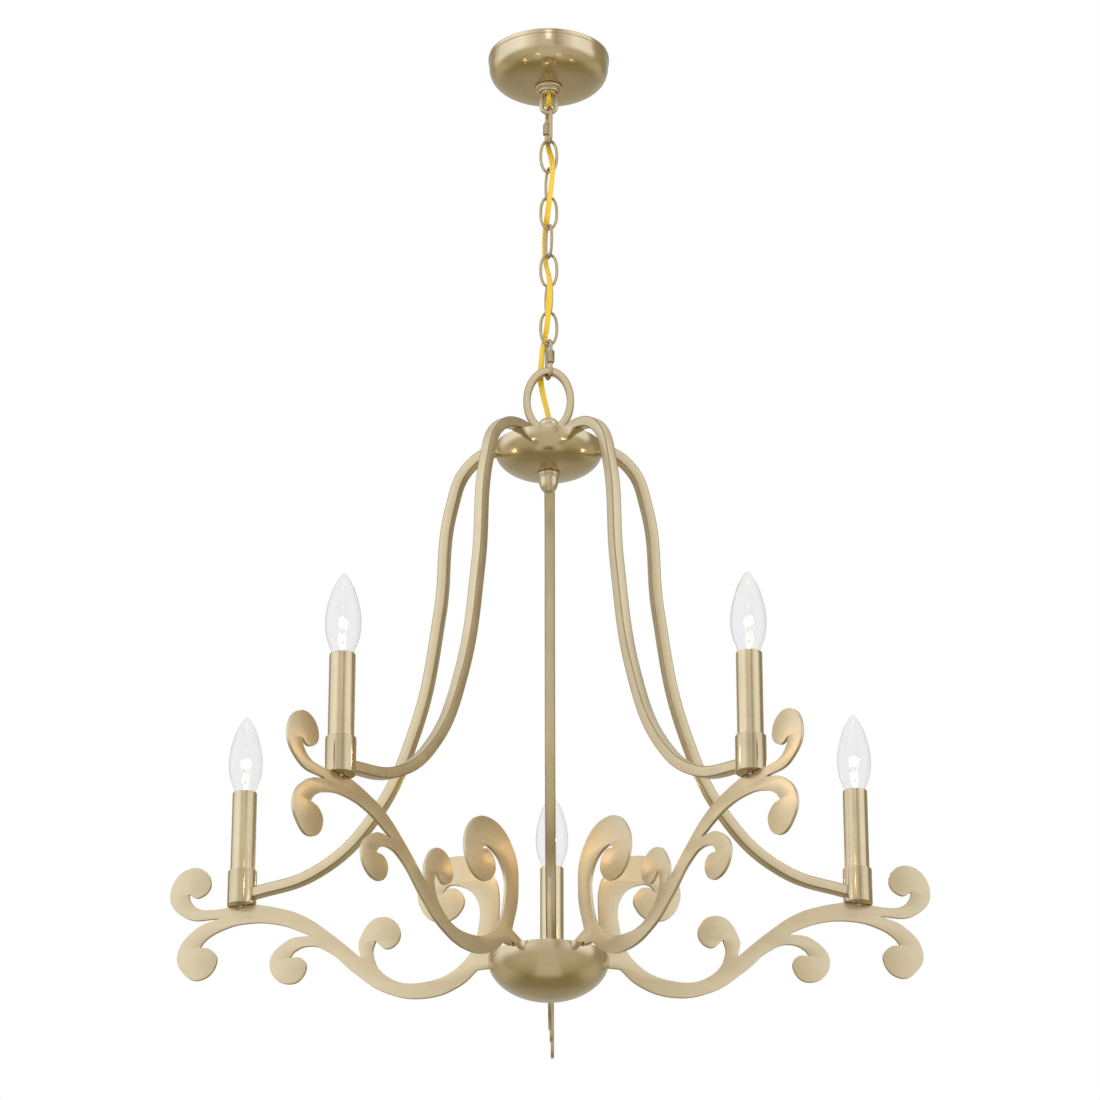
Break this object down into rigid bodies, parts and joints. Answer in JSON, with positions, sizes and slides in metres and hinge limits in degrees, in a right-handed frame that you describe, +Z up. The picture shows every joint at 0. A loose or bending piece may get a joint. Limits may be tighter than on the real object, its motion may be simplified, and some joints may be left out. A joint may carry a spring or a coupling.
{
  "type": "multi arm chandelier",
  "caption": "Hanging candle chandelier: curved square-tube arms with cups and candle bulbs, flat scroll brackets, a small bowl below, and a linked chain to a ceiling canopy.",
  "frame": {"origin": "centre of the mounting strap's ceiling face, where the chandelier meets the ceiling", "axes": "+Z up out of the ceiling face, so the object hangs below Z = 0; +Y along the arm that is furthest from the usual view; +X to the right of that view"},
  "size_m": [0.7836, 0.7453, 1.0726],
  "materials": {
    "satin_brass": "satin",
    "zinc_hardware": "satin",
    "bulb_glass": "gloss",
    "socket_white": "matte",
    "cord_gold": "gloss"
  },
  "bodies": {
    "ceiling_mount": {"mounting_strap": "zinc_hardware", "threaded_nipple": "zinc_hardware", "canopy": "satin_brass", "canopy_collar": "satin_brass", "canopy_loop": "satin_brass", "power_cord": "cord_gold"},
    "quick_link_upper_body": {"quick_link_upper": "satin_brass"},
    "upper_nut": {"quick_link_upper_nut": "satin_brass"},
    "chain": {"chain_link_1": "satin_brass", "chain_link_2": "satin_brass", "chain_link_3": "satin_brass", "chain_link_4": "satin_brass", "chain_link_5": "satin_brass", "chain_link_6": "satin_brass", "chain_link_7": "satin_brass"},
    "quick_link_lower_body": {"quick_link_lower": "satin_brass"},
    "lower_nut": {"quick_link_lower_nut": "satin_brass"},
    "fixture": {"hub_ring": "satin_brass", "hub_cap": "satin_brass", "hub_core": "satin_brass", "hub_rod": "zinc_hardware", "hub_dish": "satin_brass", "hub_finial": "satin_brass", "bowl": "satin_brass", "bowl_post": "satin_brass", "arm_1": "satin_brass", "scroll_1": "satin_brass", "cup_1": "satin_brass", "cup_screw_1": "satin_brass", "candle_sleeve_1": "satin_brass", "socket_1": "socket_white", "arm_2": "satin_brass", "scroll_2": "satin_brass", "cup_2": "satin_brass", "cup_screw_2": "satin_brass", "candle_sleeve_2": "satin_brass", "socket_2": "socket_white", "arm_3": "satin_brass", "scroll_3": "satin_brass", "cup_3": "satin_brass", "cup_screw_3": "satin_brass", "candle_sleeve_3": "satin_brass", "socket_3": "socket_white", "arm_4": "satin_brass", "scroll_4": "satin_brass", "cup_4": "satin_brass", "cup_screw_4": "satin_brass", "candle_sleeve_4": "satin_brass", "socket_4": "socket_white", "arm_5": "satin_brass", "scroll_5": "satin_brass", "cup_5": "satin_brass", "cup_screw_5": "satin_brass", "candle_sleeve_5": "satin_brass", "socket_5": "socket_white"},
    "bulb_1_body": {"bulb_1": "bulb_glass"},
    "bulb_2_body": {"bulb_2": "bulb_glass"},
    "bulb_3_body": {"bulb_3": "bulb_glass"},
    "bulb_4_body": {"bulb_4": "bulb_glass"},
    "bulb_5_body": {"bulb_5": "bulb_glass"}
  },
  "joints": [
    {"name": "quick_link_upper_swing", "type": "hinge", "parent": "ceiling_mount", "child": "quick_link_upper_body", "pos_m": [0, 0, -0.0674], "axis": [1, 0, 0], "range_deg": [-12, 12], "deforming": ["power_cord"]},
    {"name": "chain_swing", "type": "hinge", "parent": "quick_link_upper_body", "child": "chain", "pos_m": [0, 0, -0.1058], "axis": [0.309, -0.9511, 0], "range_deg": [-12, 12]},
    {"name": "quick_link_lower_swing", "type": "hinge", "parent": "chain", "child": "quick_link_lower_body", "pos_m": [0, 0, -0.3477], "axis": [1, 0, 0], "range_deg": [-12, 12]},
    {"name": "fixture_swing", "type": "hinge", "parent": "quick_link_lower_body", "child": "fixture", "pos_m": [0, 0, -0.3872], "axis": [0.309, -0.9511, 0], "range_deg": [-12, 12]},
    {"name": "upper_nut_slide", "type": "slide", "parent": "quick_link_upper_body", "child": "upper_nut", "axis": [0, 0, 1], "range_m": [0, 0.0058]},
    {"name": "lower_nut_slide", "type": "slide", "parent": "quick_link_lower_body", "child": "lower_nut", "axis": [0, 0, 1], "range_m": [0, 0.0058]},
    {"name": "bulb_1_lift", "type": "slide", "parent": "fixture", "child": "bulb_1_body", "axis": [0, 0, 1], "range_m": [0, 0.045]},
    {"name": "bulb_2_lift", "type": "slide", "parent": "fixture", "child": "bulb_2_body", "axis": [0, 0, 1], "range_m": [0, 0.045]},
    {"name": "bulb_3_lift", "type": "slide", "parent": "fixture", "child": "bulb_3_body", "axis": [0, 0, 1], "range_m": [0, 0.045]},
    {"name": "bulb_4_lift", "type": "slide", "parent": "fixture", "child": "bulb_4_body", "axis": [0, 0, 1], "range_m": [0, 0.045]},
    {"name": "bulb_5_lift", "type": "slide", "parent": "fixture", "child": "bulb_5_body", "axis": [0, 0, 1], "range_m": [0, 0.045]}
  ]
}
